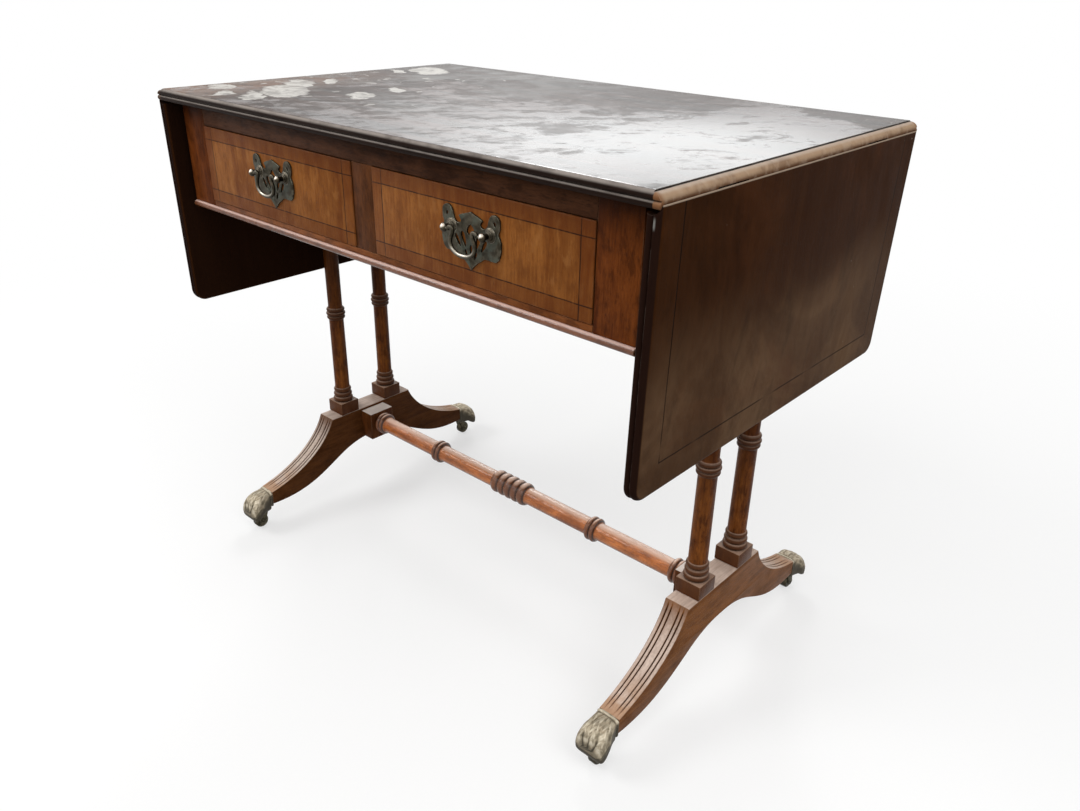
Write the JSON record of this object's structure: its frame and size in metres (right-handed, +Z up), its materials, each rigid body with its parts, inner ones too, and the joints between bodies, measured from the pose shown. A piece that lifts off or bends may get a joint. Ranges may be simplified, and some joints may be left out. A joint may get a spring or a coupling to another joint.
{
  "type": "drop-leaf sofa-style coffee table",
  "caption": "Low sofa table with drop leaves on rule joints, frieze drawers with bail handles, reeded trestle ends, a turned stretcher and swivelling paw castors.",
  "frame": {"origin": "floor level, at the centre of the plan", "axes": "+X along the length to the right-hand leaf as seen from the drawers, +Y from the drawers to the back, +Z up"},
  "size_m": [0.628, 0.4, 0.527],
  "materials": {
    "dark_mahogany": "worn dark gloss varnish",
    "red_mahogany": "worn red-brown polish",
    "orange_veneer": "worn orange-brown veneer, polished",
    "pale_carcase": "bare carcase wood",
    "aged_brass": "dark aged brass",
    "pale_brass": "pale weathered brass",
    "hinge_steel": "dull steel"
  },
  "bodies": {
    "frame": {"top": "dark_mahogany", "rail_front_top": "dark_mahogany", "divider_front": "dark_mahogany", "rail_front_bottom": "red_mahogany", "stile_front_left": "red_mahogany", "stile_front_right": "red_mahogany", "bead_front": "red_mahogany", "back_rail": "red_mahogany", "end_rail_left": "red_mahogany", "end_rail_right": "red_mahogany", "trestle_left": "red_mahogany", "trestle_right": "red_mahogany", "stretcher": "red_mahogany", "stretcher_block_left": "red_mahogany", "stretcher_block_right": "red_mahogany", "column_left_front": "red_mahogany", "column_left_back": "red_mahogany", "column_right_front": "red_mahogany", "column_right_back": "red_mahogany", "fly_bracket_left": "pale_carcase", "bearer_left": "pale_carcase", "fly_bracket_right": "pale_carcase", "bearer_right": "pale_carcase", "guide_centre": "pale_carcase", "hinge_plate_left_front": "hinge_steel", "paw_left_front": "pale_brass", "hinge_plate_left_back": "hinge_steel", "paw_left_back": "pale_brass", "hinge_plate_right_front": "hinge_steel", "paw_right_front": "pale_brass", "hinge_plate_right_back": "hinge_steel", "paw_right_back": "pale_brass"},
    "leaf_left": {"leaf_left": "dark_mahogany", "hinge_flap_left_front": "hinge_steel", "hinge_flap_left_back": "hinge_steel"},
    "leaf_right": {"leaf_right": "dark_mahogany", "hinge_flap_right_front": "hinge_steel", "hinge_flap_right_back": "hinge_steel"},
    "drawer_left": {"drawer_left_front": "orange_veneer", "drawer_left_side_left": "pale_carcase", "drawer_left_side_right": "pale_carcase", "drawer_left_back": "pale_carcase", "drawer_left_bottom": "pale_carcase", "handle_plate_left": "aged_brass"},
    "bail_left": {"bail_left": "aged_brass"},
    "drawer_right": {"drawer_right_front": "orange_veneer", "drawer_right_side_left": "pale_carcase", "drawer_right_side_right": "pale_carcase", "drawer_right_back": "pale_carcase", "drawer_right_bottom": "pale_carcase", "handle_plate_right": "aged_brass"},
    "bail_right": {"bail_right": "aged_brass"},
    "castor_left_front": {"castor_horn_left_front": "aged_brass"},
    "wheel_left_front": {"castor_wheel_left_front": "aged_brass"},
    "castor_left_back": {"castor_horn_left_back": "aged_brass"},
    "wheel_left_back": {"castor_wheel_left_back": "aged_brass"},
    "castor_right_front": {"castor_horn_right_front": "aged_brass"},
    "wheel_right_front": {"castor_wheel_right_front": "aged_brass"},
    "castor_right_back": {"castor_horn_right_back": "aged_brass"},
    "wheel_right_back": {"castor_wheel_right_back": "aged_brass"}
  },
  "joints": [
    {"name": "leaf_left_hinge", "type": "hinge", "parent": "frame", "child": "leaf_left", "pos_m": [-0.306, 0, 0.519], "axis": [0, 1, 0], "range_deg": [0, 91]},
    {"name": "leaf_right_hinge", "type": "hinge", "parent": "frame", "child": "leaf_right", "pos_m": [0.306, 0, 0.519], "axis": [0, -1, 0], "range_deg": [0, 91]},
    {"name": "drawer_left_slide", "type": "slide", "parent": "frame", "child": "drawer_left", "axis": [0, -1, 0], "range_m": [0, 0.2]},
    {"name": "bail_left_hinge", "type": "hinge", "parent": "drawer_left", "child": "bail_left", "pos_m": [-0.1337, -0.197, 0.46585], "axis": [-1, 0, 0], "range_deg": [-15, 195]},
    {"name": "drawer_right_slide", "type": "slide", "parent": "frame", "child": "drawer_right", "axis": [0, -1, 0], "range_m": [0, 0.2]},
    {"name": "bail_right_hinge", "type": "hinge", "parent": "drawer_right", "child": "bail_right", "pos_m": [0.1337, -0.197, 0.46585], "axis": [-1, 0, 0], "range_deg": [-15, 195]},
    {"name": "castor_left_front_swivel", "type": "hinge", "parent": "frame", "child": "castor_left_front", "pos_m": [-0.274, -0.171, 0], "axis": [0, 0, 1], "continuous": true},
    {"name": "wheel_left_front_spin", "type": "hinge", "parent": "castor_left_front", "child": "wheel_left_front", "pos_m": [-0.274, -0.1755, 0.0085], "axis": [1, 0, 0], "continuous": true},
    {"name": "castor_left_back_swivel", "type": "hinge", "parent": "frame", "child": "castor_left_back", "pos_m": [-0.274, 0.171, 0], "axis": [0, 0, 1], "continuous": true},
    {"name": "wheel_left_back_spin", "type": "hinge", "parent": "castor_left_back", "child": "wheel_left_back", "pos_m": [-0.274, 0.1755, 0.0085], "axis": [1, 0, 0], "continuous": true},
    {"name": "castor_right_front_swivel", "type": "hinge", "parent": "frame", "child": "castor_right_front", "pos_m": [0.274, -0.171, 0], "axis": [0, 0, 1], "continuous": true},
    {"name": "wheel_right_front_spin", "type": "hinge", "parent": "castor_right_front", "child": "wheel_right_front", "pos_m": [0.274, -0.1755, 0.0085], "axis": [1, 0, 0], "continuous": true},
    {"name": "castor_right_back_swivel", "type": "hinge", "parent": "frame", "child": "castor_right_back", "pos_m": [0.274, 0.171, 0], "axis": [0, 0, 1], "continuous": true},
    {"name": "wheel_right_back_spin", "type": "hinge", "parent": "castor_right_back", "child": "wheel_right_back", "pos_m": [0.274, 0.1755, 0.0085], "axis": [1, 0, 0], "continuous": true}
  ]
}
